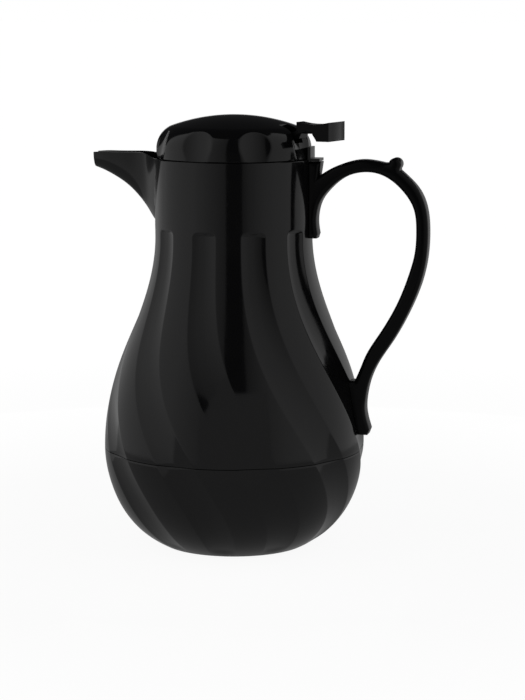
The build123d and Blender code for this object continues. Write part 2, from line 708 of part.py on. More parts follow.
# Thumb lever: paddle, bar and crank outside, hub and fork inside the dome
with BuildPart() as thumb_lever:
    with BuildSketch(lever_side):
        with BuildLine():
            ThreePointArc((root_x, root_top_z), saddle, (paddle_end_x, paddle_top_z))
            Polyline((paddle_end_x, paddle_top_z), (paddle_end_x, paddle_bottom_z),
                     (paddle_heel_x, paddle_bottom_z), (paddle_neck_x, bar_bottom_z),
                     (bar_bottom_x, bar_bottom_z), (crank_x[1], arm_bottom_z),
                     (arm_end_x, arm_bottom_z), (arm_end_x, arm_top_z), (crank_x[0], arm_top_z),
                     (root_x, bar_root_z), (root_x, root_top_z))
        make_face()
        with Locations((pivot_x, pivot_z)):
            Circle(hub_r)
    extrude(amount=lever_half, both=True)
    with BuildSketch(lever_side):
        with BuildLine():
            Polyline((paddle_end_x, paddle_top_z), (paddle_end_x, paddle_bottom_z),
                     (paddle_heel_x, paddle_bottom_z), (paddle_neck_x, bar_bottom_z),
                     (paddle_neck_x, saddle[1]), (paddle_end_x, paddle_top_z))
        make_face()
    extrude(amount=paddle_half, both=True)
    add(across_lever(arm_end_x - 1, fork_depth, arm_bottom_z - 1, arm_top_z + 1,
                     -stem_r - fork_gap, stem_r + fork_gap), mode=Mode.SUBTRACT)
    with Locations(lever_side * Location((pivot_x, pivot_z, 0))):
        Cylinder(pin_r + pin_fit, 3 * lever_half, mode=Mode.SUBTRACT)
finish(thumb_lever, "thumb_lever")

with BuildPart() as lever_pin:
    with Locations(lever_side * Location((pivot_x, pivot_z, 0))):
        Cylinder(pin_r, 2 * (lever_half + slot_gap + ear_t))
finish(lever_pin, "lever_pin")
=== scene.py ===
# %% [markdown]
# # A thermal serving carafe
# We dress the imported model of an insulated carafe: a black, polished, swirl-fluted body in two
# shells, an open spout, a loop handle and a domed twist-off lid with a thumb lever. The packed
# model is the frame. Everything we add sits in the same place, in metres, so nothing is fitted.

# %% Load the frame
import bpy
import json
import numpy as np
from math import atan2, cos, degrees, hypot, pi, radians, sin, sqrt
from mathutils import Matrix, Vector


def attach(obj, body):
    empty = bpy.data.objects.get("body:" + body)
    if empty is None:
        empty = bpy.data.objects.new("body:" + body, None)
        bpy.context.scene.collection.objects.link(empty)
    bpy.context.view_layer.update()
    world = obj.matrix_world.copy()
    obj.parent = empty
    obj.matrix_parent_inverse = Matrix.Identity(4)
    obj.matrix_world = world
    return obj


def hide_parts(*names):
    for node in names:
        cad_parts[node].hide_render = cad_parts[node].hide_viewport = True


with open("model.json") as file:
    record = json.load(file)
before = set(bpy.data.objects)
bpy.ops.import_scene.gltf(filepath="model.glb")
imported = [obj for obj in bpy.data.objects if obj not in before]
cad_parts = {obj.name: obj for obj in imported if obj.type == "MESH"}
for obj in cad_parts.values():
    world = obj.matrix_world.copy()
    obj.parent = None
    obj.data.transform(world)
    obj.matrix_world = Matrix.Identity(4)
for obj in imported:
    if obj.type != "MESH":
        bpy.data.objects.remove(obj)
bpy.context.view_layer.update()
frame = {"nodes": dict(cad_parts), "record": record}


# %% [markdown]
# ## Sizes
# The sizes below are the ones that the solids have, in millimetres. The body is one outline spun
# round the upright axis, so the outline needs only a few stations and a smooth line through them.

# %% Sizes of the body
MM = 0.001
rim_z, shoulder_z, seam_z = 220.0, 176.0, 56.0
neck_r, belly_r, base_r = 44.6, 74.09, 41.5
shell_wall, seam_gap = 2.4, 0.3
# share of the drop, share of the change in radius, and tilt of the surface in degrees
shoulder_stations = ((0.297, 0.226, 20), (0.533, 0.605, 21), (0.738, 0.868, 14))
bowl_stations = ((0.355, 0.092, 17), (0.561, 0.226, 30), (0.839, 0.587, 47))
bowl_end_tilt = 64


def smooth_line(points, count, start=None, end=None):
    """Even points on a smooth line through the given ones, with end directions if they matter."""
    p = np.array(points, dtype=float)
    steps = np.linalg.norm(np.diff(p, axis=0), axis=1)
    t = np.concatenate(([0.0], np.cumsum(steps)))
    n = len(p)
    a = np.zeros((n, n))
    b = np.zeros((n, p.shape[1]))
    for i in range(1, n - 1):
        before, after = steps[i - 1], steps[i]
        a[i, i - 1], a[i, i], a[i, i + 1] = after, 2 * (before + after), before
        b[i] = 3 * (after * (p[i] - p[i - 1]) / before + before * (p[i + 1] - p[i]) / after)
    for row, near, far, first, given in ((0, 0, 1, 0, start), (n - 1, n - 1, n - 2, n - 2, end)):
        if given is None:
            a[row, near], a[row, far] = 2.0, 1.0
            b[row] = 3 * (p[first + 1] - p[first]) / steps[first]
        else:
            a[row, near] = 1.0
            b[row] = given
    slope = np.linalg.solve(a, b)
    out = []
    for u in np.linspace(0, t[-1], count):
        i = min(max(int(np.searchsorted(t, u)) - 1, 0), n - 2)
        h = steps[i]
        s = (u - t[i]) / h
        out.append((2 * s**3 - 3 * s**2 + 1) * p[i] + (s**3 - 2 * s**2 + s) * h * slope[i]
                   + (3 * s**2 - 2 * s**3) * p[i + 1] + (s**3 - s**2) * h * slope[i + 1])
    return [tuple(float(v) for v in q) for q in out]


def shoulder_line(inset, count=62):
    """Outline (radius, height) from the foot of the neck down to the seam."""
    points = [(neck_r - inset, shoulder_z)]
    for drop, swell, tilt in shoulder_stations:
        points.append((neck_r + (belly_r - neck_r) * swell - inset * cos(radians(tilt)),
                       shoulder_z - (shoulder_z - seam_z) * drop - inset * sin(radians(tilt))))
    points.append((belly_r - inset, seam_z))
    return smooth_line(points, count, (0, -1), (0, -1))


def bowl_line(inset, count=44):
    """Outline (radius, height) from the seam down to the flat base."""
    points = [(belly_r - inset, seam_z)]
    for drop, narrowing, tilt in bowl_stations:
        points.append((belly_r - (belly_r - base_r) * narrowing - inset * cos(radians(tilt)),
                       seam_z * (1 - drop) + inset * sin(radians(tilt))))
    tilt = radians(bowl_end_tilt)
    points.append((base_r - inset * cos(tilt), inset * sin(tilt)))
    return smooth_line(points, count, (0, -1), (-sin(tilt), -cos(tilt)))


print("shoulder line", len(shoulder_line(0)), "points, bowl line", len(bowl_line(0)), "points")

# %% [markdown]
# ## Helpers for mesh work
# Operators act on what is selected, and loading the frame leaves its nodes selected. So each piece
# starts with nothing selected. Finished pieces stay at the origin, unturned and unscaled.

# %% Helpers for mesh work


def start_clean():
    """Leave edit mode if needed and deselect everything."""
    if bpy.context.object and bpy.context.object.mode != "OBJECT":
        bpy.ops.object.mode_set(mode="OBJECT")
    bpy.ops.object.select_all(action="DESELECT")


def only(obj):
    """Make one object the selected and active one."""
    start_clean()
    obj.select_set(True)
    bpy.context.view_layer.objects.active = obj


def use_modifier(obj, kind, **values):
    """Add a modifier, set it and apply it."""
    only(obj)
    mod = obj.modifiers.new(kind.lower(), kind)
    for key, value in values.items():
        setattr(mod, key, value)
    bpy.ops.object.modifier_apply(modifier=mod.name)


def draw_line(name, points, closed=True):
    """A chain of edges in the plane y = 0, grown point by point from one corner of a plane."""
    start_clean()
    bpy.ops.mesh.primitive_plane_add(size=MM)
    obj = bpy.context.object
    obj.name = name
    bpy.ops.object.mode_set(mode="EDIT")
    bpy.ops.mesh.merge(type="CENTER")
    x, z = points[0]
    bpy.ops.transform.translate(value=(x * MM, 0, z * MM))
    for (x0, z0), (x1, z1) in zip(points, points[1:]):
        bpy.ops.mesh.extrude_vertices_move(
            TRANSFORM_OT_translate={"value": ((x1 - x0) * MM, 0, (z1 - z0) * MM)})
    if closed:
        bpy.ops.mesh.select_all(action="DESELECT")
        bpy.ops.object.mode_set(mode="OBJECT")
        for v in (obj.data.vertices[0], obj.data.vertices[-1]):
            v.select = True
        bpy.ops.object.mode_set(mode="EDIT")
        bpy.ops.mesh.edge_face_add()
    bpy.ops.object.mode_set(mode="OBJECT")
    return obj


def spin_line(name, points, steps, closed=True):
    """Spin an outline once round the upright axis into a closed skin."""
    obj = draw_line(name, points, closed)
    bpy.ops.object.mode_set(mode="EDIT")
    bpy.ops.mesh.select_all(action="SELECT")
    bpy.ops.mesh.spin(steps=steps, angle=2 * pi, center=(0, 0, 0), axis=(0, 0, 1))
    bpy.ops.mesh.select_all(action="SELECT")
    bpy.ops.mesh.remove_doubles(threshold=0.00001)
    bpy.ops.mesh.normals_make_consistent(inside=False)
    bpy.ops.object.mode_set(mode="OBJECT")
    return obj


def cut(obj, tool, way="DIFFERENCE"):
    """Boolean one piece with another, which then goes."""
    use_modifier(obj, "BOOLEAN", object=tool, operation=way, solver="EXACT")
    bpy.data.objects.remove(tool, do_unlink=True)


def soften(obj, width, segments=3, angle=40):
    """Round the sharp edges of a piece, as its mould would."""
    use_modifier(obj, "BEVEL", width=width * MM, segments=segments, limit_method="ANGLE",
                 angle_limit=radians(angle), use_clamp_overlap=True)


def smooth(obj, angle=32):
    """Smooth shading that keeps real edges crisp."""
    only(obj)
    bpy.ops.object.shade_smooth_by_angle(angle=radians(angle))


print("helpers ready")

# %% [markdown]
# ## The swirl flutes
# Ten flutes start upright below the neck and swing round as they drop. Each is a shallow scoop with
# crisp edges, like the fluting of a column, and that is what catches the light in broad bands.
# Spinning the outline gives columns of faces. We turn each row by the swirl, so that the columns
# run along the flutes, and crowd them at a flute's edge. Then each point in a flute moves inwards.

# %% Swirl flutes
flute_count, flute_depth, flute_phase = 10, 1.4, 9.6
flute_half, flute_edge = 9.0, 0.05      # half width in degrees, softness of the crisp edge
flute_top_z, flute_corner, flute_end = 182.0, 3.6, 2.2
flute_foot_z, flute_run_out = 1.0, 5.0
swirl_top_z, swirl_angle, swirl_delay = 178.0, 50.0, 1.4
columns = 360
pitch = columns // flute_count
# where the columns of half a flute pitch stand, in degrees from the middle of the flute
half_columns = (0, 1.5, 2.9, 4.2, 5.3, 6.2, 6.9, 7.5, 8.0, 8.35, 8.6, 8.8, 9.0, 9.2, 9.45,
                9.9, 11.0, 13.0, 15.5)
pitch_columns = half_columns + (pitch / 2,) + tuple(pitch - a for a in half_columns[:0:-1])


def swirl(z):
    """Degrees that the flutes have turned at a height."""
    drop = min(max((swirl_top_z - z) / swirl_top_z, 0), 1) ** swirl_delay
    return swirl_angle * drop * drop * (3 - 2 * drop)


def ease(x):
    """Smooth step from 0 to 1."""
    x = min(max(x, 0.0), 1.0)
    return x * x * (3 - 2 * x)


def flute_share(angle, r, z):
    """How deep in a flute a point is, 0 on the land and 1 in the middle of the scoop."""
    below = flute_top_z - z
    if below <= 0:
        return 0.0
    off = radians(abs((angle + pitch / 2) % pitch - pitch / 2)) * r
    half = radians(flute_half) * r
    if below < flute_corner:
        half -= flute_corner - sqrt(flute_corner**2 - (flute_corner - below) ** 2)
    scoop = 1 - (off / half) ** 2
    scoop = (scoop + sqrt(scoop * scoop + flute_edge**2)) / 2
    return scoop * ease(below / flute_end) * ease((z - flute_foot_z) / flute_run_out)


def carve_flutes(obj, outer_only_from):
    """Turn the rows of a spun shell and press the flutes into its outer face."""
    for v in obj.data.vertices:
        x, y, z = v.co.x / MM, v.co.y / MM, v.co.z / MM
        r = hypot(x, y)
        if r < 1e-6:
            continue
        column = round(degrees(atan2(y, x)) % 360) % columns
        angle = pitch_columns[column % pitch]
        turn = radians(column // pitch * pitch + angle + flute_phase + swirl(z))
        if r > outer_only_from(z):
            r -= flute_depth * flute_share(angle, r, z)
        v.co.x, v.co.y = r * cos(turn) * MM, r * sin(turn) * MM
    obj.data.update()


print("columns in one flute pitch:", len(pitch_columns))

# %% [markdown]
# ## The shells
# The real body is two mouldings. The upper one carries neck, spout and shoulder, the lower one the
# bowl. They meet at the widest place, where a thin dark seam shows. Each is spun with its wall.

# %% Lower shell
middle_inset = 1.1
low_face, high_face = seam_z - seam_gap / 2, seam_z + seam_gap / 2
seam_edge = ((0.15, 0.0), (0.04, 0.04), (0.0, 0.15))    # in from the belly, away from the seam
seam_margin = 0.9
lip_gap, lip_wall, lip_foot_z, lip_top_z = 0.15, 1.7, 48.5, 62.0
cap_seat_r, cap_seat_z, cap_hole_r, cap_hole_z = 39.8, 2.6, 36.2, 4.4
bowl_inside_low, bowl_inside_high = 4.8, 47.0
middle_rows = np.array(sorted(bowl_line(middle_inset) + shoulder_line(middle_inset)
                              + [(neck_r - middle_inset, rim_z)], key=lambda q: q[1]))


def middle_of_wall(z):
    """Radius in the middle of the wall at a height, to tell the outer face from the inner."""
    return float(np.interp(z, middle_rows[:, 1], middle_rows[:, 0]))


lip_r = belly_r - shell_wall - lip_gap
outer = [(r, z) for r, z in bowl_line(0) if z < seam_z - seam_margin]
inner = [(r, z) for r, z in bowl_line(shell_wall, 16) if bowl_inside_low < z < bowl_inside_high]
lower_outline = [(lip_r, low_face)] + [(belly_r - a, low_face - b) for a, b in seam_edge] + outer
lower_outline += [(base_r - 0.6, 0.02), (cap_seat_r, 0.0), (cap_seat_r, cap_seat_z),
                  (cap_hole_r, cap_seat_z), (cap_hole_r, cap_hole_z)]
lower_outline += inner[::-1] + [(lip_r - lip_wall, lip_foot_z), (lip_r - lip_wall, lip_top_z),
                                (lip_r, lip_top_z)]
bowl_shell = spin_line("bowl_shell", lower_outline, columns)
carve_flutes(bowl_shell, middle_of_wall)
smooth(bowl_shell, 40)
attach(bowl_shell, "carafe")
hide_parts("lower_shell")
print("bowl", len(bowl_shell.data.vertices), "vertices")

# %% Upper shell before the spout
rim_edge = ((0.35, 0.05), (0.12, 0.2), (0.0, 0.45))     # in from the neck, down from the rim
bore_r, bore_edge = 42.2, 0.3
ledge_low_z, ledge_top_z, ledge_r = 175.6, 178.0, 34.4  # carries the liner's neck
shoulder_inside_high, bore_middle_z, least_step = 174.6, 200.0, 0.05
outer = [(r, z) for r, z in shoulder_line(0) if z > seam_z + seam_margin]
inner = [(r, z) for r, z in shoulder_line(shell_wall, 22) if z < shoulder_inside_high]
# rows of faces down the neck, close together where the flutes have their round tops
neck_rows = [rim_z - 0.7 - 0.5 * k for k in range(4)] + [216.0, 212.0, 208.0, 204.0, 200.0, 196.0]
neck_rows += [192.0, 189.0, 187.0, 185.5, 184.5]
neck_rows += [184.0 - 0.5 * k for k in range(16)]
raw_outline = [(neck_r - a, rim_z - b) for a, b in rim_edge]
raw_outline += [(neck_r, z) for z in neck_rows] + outer
raw_outline += [(belly_r - a, high_face + b) for a, b in seam_edge[::-1]]
raw_outline += [(belly_r - shell_wall, high_face)] + inner[::-1][1:]
raw_outline += [(bore_r + 0.05, ledge_low_z), (ledge_r, ledge_low_z), (ledge_r, ledge_top_z),
                (bore_r, ledge_top_z), (bore_r, bore_middle_z), (bore_r, rim_z - bore_edge),
                (bore_r + bore_edge, rim_z)]
upper_outline = raw_outline[:1]
for before, after in zip(raw_outline, raw_outline[1:]):
    if hypot(after[0] - before[0], after[1] - before[1]) > least_step:
        upper_outline.append(after)
neck_shell = spin_line("neck_shell", upper_outline, columns)
carve_flutes(neck_shell, middle_of_wall)
print("neck and shoulder", len(neck_shell.data.vertices), "vertices")

# %% [markdown]
# ## The spout
# The spout is an open trough. Across it, the wall is the lower half of an ellipse that gets
# narrower and shallower towards the lip, and flares wide where it grows out of the neck. We join
# such sections into a solid boat, add it to the neck, and take a slimmer boat out again.

# %% Spout
# reach from the axis, height of the keel, half width and height of the edges
spout_stations = ((35.0, 178.5, 25.6, 219.6), (43.0, 181.3, 16.4, 220.2),
                  (47.3, 186.3, 11.4, 221.4), (50.1, 190.7, 8.9, 222.2),
                  (54.0, 195.9, 7.4, 222.6), (62.4, 204.2, 6.9, 222.6),
                  (70.2, 209.2, 6.6, 222.6), (76.3, 212.2, 6.2, 222.6),
                  (80.8, 213.9, 5.4, 222.3))
spout_wall, spout_root_r, trough_rise = 1.8, 43.4, 4.0
past_tip = (4, 0.6, -0.3, 0)            # the trough runs on past the tip, to open it
under_neck_z, over_lid_z = 170.0, 230.0


def boat(name, stations, inset, raised, count=40, arc=32):
    """Solid between U sections that follow the stations."""
    verts, faces = [], []
    rows = smooth_line(stations, count)
    for reach, keel, half, top in rows:
        w, d = half - inset, top - keel - inset
        ring = [(w * cos(pi * k / arc), -d * sin(pi * k / arc)) for k in range(arc + 1)]
        ring += [(-w, raised), (w, raised)] if raised else []
        verts += [(-reach * MM, y * MM, (top + z) * MM) for y, z in ring]
        size = len(ring)
    for i in range(count - 1):
        for k in range(size):
            a, b = i * size + k, i * size + (k + 1) % size
            faces.append((a, b, b + size, a + size))
    faces.append(tuple(range(size))[::-1])
    faces.append(tuple(range((count - 1) * size, count * size)))
    mesh = bpy.data.meshes.new(name)
    mesh.from_pydata(verts, [], faces)
    obj = bpy.data.objects.new(name, mesh)
    bpy.context.scene.collection.objects.link(obj)
    only(obj)
    bpy.ops.object.mode_set(mode="EDIT")
    bpy.ops.mesh.select_all(action="SELECT")
    bpy.ops.mesh.normals_make_consistent(inside=False)
    bpy.ops.object.mode_set(mode="OBJECT")
    return obj


hull = boat("spout_hull", spout_stations, 0.0, 0.0)
bore = spin_line("neck_bore", [(0.0, under_neck_z), (spout_root_r, under_neck_z),
                               (spout_root_r, over_lid_z), (0.0, over_lid_z)], 180, closed=False)
cut(hull, bore)
cut(neck_shell, hull, "UNION")
beyond = tuple(size + more for size, more in zip(spout_stations[-1], past_tip))
trough = boat("spout_trough", spout_stations + (beyond,), spout_wall, trough_rise)
cut(neck_shell, trough)
smooth(neck_shell, 32)
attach(neck_shell, "carafe")
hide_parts("upper_shell")
print("neck with spout", len(neck_shell.data.polygons), "faces")

# %% [markdown]
# ## The handle
# One moulding, a strap bent into a loop: a hooked top under the rim, a round arch, a small knob for
# the thumb, and a foot that flares out on the belly. Its side view is drawn as a closed flat curve.
# A flat curve can be given thickness and round edges at once, which is how the strap looks.

# %% Handle
handle_half, handle_round = 6.5, 2.6
# side view in radius and height: the arch, the knob, the back, and the inner side of the loop
arch_outer = ((49.6, 210.8), (55.4, 214.5), (63.3, 218.0), (74.0, 220.2), (86.3, 218.6))
knob_centre, knob_r = (92.4, 217.9), 3.6
back_outer = ((95.2, 214.6), (99.0, 211.3), (105.9, 203.7), (110.0, 194.0), (111.38, 181.1),
              (110.4, 165.0), (108.0, 154.0), (100.9, 135.9), (90.6, 117.3), (83.7, 106.8),
              (79.2, 97.0), (77.1, 88.0), (76.6, 79.5), (79.2, 68.6))
front_inner = ((49.1, 178.4), (48.3, 184.0), (48.6, 190.0), (50.8, 197.2), (55.4, 203.3),
               (62.9, 209.6), (73.5, 213.2), (83.7, 212.4), (91.6, 208.2), (98.0, 202.0),
               (102.9, 194.0), (104.6, 182.0), (103.7, 168.0), (101.1, 158.2), (94.0, 139.9),
               (83.4, 121.6), (77.0, 111.2), (73.1, 101.8), (70.5, 96.0))
heel, toe, toe_top_z = (77.9, 65.3), (62.9, 65.3), 96.0
post_foot, hook_top, root_r = (48.3, 175.8), (50.8, 218.7), 42.3


def flat_curve(name, points, half, rounding):
    """Closed flat curve in the plane y = 0 with thickness and round edges, made a mesh."""
    start_clean()
    bpy.ops.curve.primitive_bezier_circle_add(radius=0.01)
    obj = bpy.context.object
    obj.name = name
    curve = obj.data
    curve.splines.clear()
    line = curve.splines.new("POLY")
    line.points.add(len(points) - 1)
    for p, (x, z) in zip(line.points, points):
        p.co = (x * MM, z * MM, 0, 1)
    line.use_cyclic_u = True
    curve.dimensions = "2D"
    curve.fill_mode = "BOTH"
    curve.extrude = (half - rounding) * MM
    curve.bevel_depth = rounding * MM
    curve.bevel_resolution = 4
    curve.offset = -rounding * MM
    bpy.ops.transform.rotate(value=-pi / 2, orient_axis="X", center_override=(0, 0, 0))
    bpy.ops.object.convert(target="MESH")
    bpy.ops.object.transform_apply(location=True, rotation=True, scale=True)
    bpy.ops.object.mode_set(mode="EDIT")
    bpy.ops.mesh.select_all(action="SELECT")
    bpy.ops.mesh.remove_doubles(threshold=0.00002)
    bpy.ops.mesh.normals_make_consistent(inside=False)
    bpy.ops.object.mode_set(mode="OBJECT")
    return obj


knob = [(knob_centre[0] + knob_r * cos(radians(a)), knob_centre[1] + knob_r * sin(radians(a)))
        for a in range(168, -47, -15)]
side_view = smooth_line(arch_outer, 34) + knob + smooth_line(back_outer, 110)
side_view += [heel, toe, (toe[0], toe_top_z)] + smooth_line(front_inner, 140)[::-1]
side_view += [post_foot, (root_r, post_foot[1]), (root_r, hook_top[1]), hook_top]
loop_handle = flat_curve("loop_handle", side_view, handle_half, handle_round)
size = [max(v.co[i] for v in loop_handle.data.vertices) for i in range(3)]
print("handle reaches", [round(s / MM, 1) for s in size], "mm")

# %% [markdown]
# The handle's feet follow the body, so a copy of the body's outer form, a little fatter, is cut
# from it. The copy has the flutes too, and the foot on the belly settles into them.

# %% Fit the handle to the body
fit_gap, form_foot_z = 0.25, 40.0
form = [(0.0, form_foot_z)] + [(r, z) for r, z in bowl_line(-fit_gap)[::-1] if z > form_foot_z]
form += shoulder_line(-fit_gap)[::-1][1:] + [(neck_r + fit_gap, z) for z in neck_rows[::-1]]
form += [(neck_r + fit_gap, over_lid_z), (0.0, over_lid_z)]
body_form = spin_line("body_form", form, columns, closed=False)
carve_flutes(body_form, middle_of_wall)
cut(loop_handle, body_form)
smooth(loop_handle, 35)
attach(loop_handle, "carafe")
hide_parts("handle")
print("handle", len(loop_handle.data.polygons), "faces")

# %% [markdown]
# ## The lid
# A shallow dome over a round shoulder, with eight finger scallops pressed into the shoulder. Each
# scallop is where a fat ring, standing upright beside the lid, would dent it. One stands under the
# lever. The dome is spun, and the dents are worked out point by point with a soft edge.

# %% Lid dome
lid_turn, lid_r, lid_bottom, lid_top = -15.0, 43.6, 220.3, 244.2
lid_wall, side_top, shoulder_radius, shoulder_sweep = 2.2, 225.3, 14.0, 65
scallop_long, scallop_wide, scallop_x, scallop_z = 57.0, 28.0, -14.3, 213.6
scallop_pitch, scallop_soft, scallop_reach = 360 / 8, 0.22, 1.5
crown_r, skirt_rise = 20.0, 1.2         # inside crown_r no dents, under the rise none move up
lid_edge = ((0.35, 0.0), (0.1, 0.1), (0.0, 0.35))       # in from the lid's side, up from its foot
hollow_foot_z, hollow_wider = 210.0, 1.8
crown_rows = 24


def lid_line(inset, rows):
    """Outline of the dome from its lower edge to the middle of its crown."""
    r = lid_r - inset
    bend = shoulder_radius - inset
    line = [(r, side_top)]
    for k in range(1, rows + 1):
        a = radians(shoulder_sweep * k / rows)
        line.append((r - bend * (1 - cos(a)), side_top + bend * sin(a)))
    end_r, end_z = line[-1]
    top = lid_top - inset
    crown = (end_r**2 + (top - end_z) ** 2) / (2 * (top - end_z))
    for k in range(1, crown_rows + 1):
        x = end_r * (1 - k / crown_rows)
        line.append((x, top - crown + sqrt(crown**2 - x * x)))
    return line


def press_scallops(obj, fatter):
    """Move points that lie in a scallop's ring back to the ring's face, with a soft edge."""
    for v in obj.data.vertices:
        x, y, z = v.co.x / MM, v.co.y / MM, v.co.z / MM
        r = hypot(x, y)
        if r < crown_r or z < lid_bottom - 0.01:
            continue
        around = degrees(atan2(y, x)) - lid_turn
        k = round(around / scallop_pitch)
        off = radians(around - scallop_pitch * k)
        px, py = r * cos(off), r * sin(off)
        tube = scallop_wide + fatter
        if abs(py) >= tube:
            continue
        face = scallop_long + scallop_wide - sqrt(tube * tube - py * py)
        dist = hypot(px - scallop_x, z - scallop_z)
        gap = dist - face
        if gap < -scallop_reach:
            continue
        share = (dist - (gap + sqrt(gap * gap + scallop_soft**2)) / 2) / dist
        px = scallop_x + (px - scallop_x) * share
        if z > lid_bottom + skirt_rise:
            z = scallop_z + (z - scallop_z) * share
        a = radians(lid_turn + scallop_pitch * k)
        v.co = ((px * cos(a) - py * sin(a)) * MM, (px * sin(a) + py * cos(a)) * MM, z * MM)
    obj.data.update()


lid_outline = [(0.0, lid_bottom)] + [(lid_r - a, lid_bottom + b) for a, b in lid_edge]
lid_outline += [(lid_r, lid_bottom + 1.0 + 0.57 * k) for k in range(7)] + lid_line(0, 36)
dome = spin_line("dome", lid_outline, 384, closed=False)
press_scallops(dome, 0.0)
hollow_r = lid_r - lid_wall
hollow_line = [(0.0, hollow_foot_z), (hollow_r, hollow_foot_z)]
hollow_line += [(hollow_r, z) for z in (219.0, 220.4, 221.6, 223.0, 224.4)] + lid_line(lid_wall, 20)
hollow = spin_line("hollow", hollow_line, 192, closed=False)
press_scallops(hollow, hollow_wider)
print("dome", len(dome.data.vertices), "vertices")

# %% [markdown]
# The lever passes through a slot in the shoulder and turns on a pin between two ears that hang
# inside the dome. All of these are plain blocks placed in the lever's own direction.

# %% Slot, ears and pin hole
lever_turn = Matrix.Rotation(radians(lid_turn), 4, "Z")
pivot, pin_hole_r = (28.0, 232.0), 1.56
slot_half, ear_half, above_lid_z = 5.0, 7.4, 246.0


def block(name, x0, x1, y0, y1, z0, z1):
    """A block given outwards, across and up in the lever's direction."""
    start_clean()
    bpy.ops.mesh.primitive_cube_add(size=1)
    obj = bpy.context.object
    obj.name = name
    bpy.ops.object.mode_set(mode="EDIT")
    bpy.ops.transform.resize(value=((x1 - x0) * MM, (y1 - y0) * MM, (z1 - z0) * MM),
                             center_override=(0, 0, 0))
    bpy.ops.transform.translate(value=((x0 + x1) / 2 * MM, (y0 + y1) / 2 * MM, (z0 + z1) / 2 * MM))
    bpy.ops.object.mode_set(mode="OBJECT")
    obj.data.transform(lever_turn)
    return obj


def drill_for_pin(obj):
    """Hole for the lever's pin, right through a piece."""
    start_clean()
    bpy.ops.mesh.primitive_cylinder_add(vertices=32, radius=pin_hole_r * MM, depth=30 * MM)
    hole = bpy.context.object
    hole.data.transform(lever_turn @ Matrix.Translation((pivot[0] * MM, 0, pivot[1] * MM))
                        @ Matrix.Rotation(pi / 2, 4, "X"))
    cut(obj, hole)


for side in (-1, 1):
    near, far = sorted((side * slot_half, side * ear_half))
    cut(hollow, block("ear", 24.0, 32.0, near, far, 228.6, above_lid_z))
cut(dome, hollow)
cut(dome, block("slot", 31.0, 50.0, -slot_half, slot_half, 229.4, above_lid_z))
drill_for_pin(dome)
smooth(dome, 34)
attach(dome, "lid")
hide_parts("lid_dome")
print("lid", len(dome.data.polygons), "faces")

# %% [markdown]
# ## The thumb lever
# A narrow bar with a dished top, ending in a wide paddle that hangs over the handle, and a crank
# that dips through the slot to the pin. Side view first, then thickness, then the paddle is joined.

# %% Thumb lever
bar_half, paddle_half, fork_half = 4.5, 10.0, 2.9
# side views in radius and height: the dished top, the paddle's underside, and the cranked bar
saddle = [(41.7, 241.3), (44.0, 240.85), (47.0, 240.4), (50.0, 240.2), (53.0, 240.2),
          (56.0, 240.4), (59.0, 240.75), (61.7, 241.2), (64.2, 241.7)]
underside = [(64.2, 231.2), (56.8, 231.2), (54.2, 235.0)]
bar_view = saddle + underside + [
    (44.8, 235.0), (43.4, 232.3), (35.5, 230.2), (30.6, 230.2), (29.6, 229.25), (28.0, 228.8),
    (26.4, 229.25), (25.4, 230.2), (-2.6, 230.2), (-2.6, 233.8), (25.4, 233.8), (26.4, 234.75),
    (28.0, 235.2), (29.6, 234.75), (30.6, 233.8), (34.5, 233.8), (41.7, 236.6)]
paddle_view = saddle[5:] + underside + [(54.2, 240.25)]


def slab(name, view, half):
    """Side view filled and given thickness both ways, then turned to the lever's direction."""
    obj = draw_line(name, view)
    bpy.ops.object.mode_set(mode="EDIT")
    bpy.ops.mesh.select_all(action="SELECT")
    bpy.ops.mesh.edge_face_add()
    bpy.ops.transform.translate(value=(0, -half * MM, 0))
    bpy.ops.mesh.extrude_region_move(TRANSFORM_OT_translate={"value": (0, 2 * half * MM, 0)})
    bpy.ops.mesh.select_all(action="SELECT")
    bpy.ops.mesh.normals_make_consistent(inside=False)
    bpy.ops.object.mode_set(mode="OBJECT")
    obj.data.transform(lever_turn)
    return obj


lever = slab("lever", bar_view, bar_half)
cut(lever, slab("paddle", paddle_view, paddle_half), "UNION")
cut(lever, block("fork_gap", -4.0, 3.9, -fork_half, fork_half, 228.0, 236.0))
drill_for_pin(lever)
soften(lever, 0.7, 3, 35)
smooth(lever, 30)
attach(lever, "lever")
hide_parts("thumb_lever")
print("lever", len(lever.data.polygons), "faces")

# %% [markdown]
# ## Finishes
# Almost everything that shows is one polished black plastic. Polished plastic is never perfectly
# even: it has a very slight waviness from the mould, fine hairlines from wiping, and a little more
# haze in some places. Those are shared groups of nodes that give masks and normals.

# %% Shared groups


def set_inputs(node, **values):
    """Plain values for a node's inputs, named by their labels with _ for a space."""
    for label, value in values.items():
        node.inputs[label.replace("_", " ")].default_value = value
    return node


def add_node(tree, kind, operation=None, **values):
    """New shader node with its operation and plain values."""
    node = tree.nodes.new("ShaderNode" + kind)
    if operation:
        node.operation = operation
    return set_inputs(node, **values)


def join(tree, *rows):
    """Link nodes. A row is a node and its output, then a node and its input."""
    for source, given, target, taken in rows:
        tree.links.new(source.outputs[given], target.inputs[taken])


def new_group(name, inputs, outputs):
    """Empty shader group with its sockets, all of them plain numbers."""
    group = bpy.data.node_groups.new(name, "ShaderNodeTree")
    for label, default in inputs:
        socket = group.interface.new_socket(label, in_out="INPUT", socket_type="NodeSocketFloat")
        socket.default_value = default
    for label in outputs:
        group.interface.new_socket(label, in_out="OUTPUT", socket_type="NodeSocketFloat")
    return group, group.nodes.new("NodeGroupInput"), group.nodes.new("NodeGroupOutput")


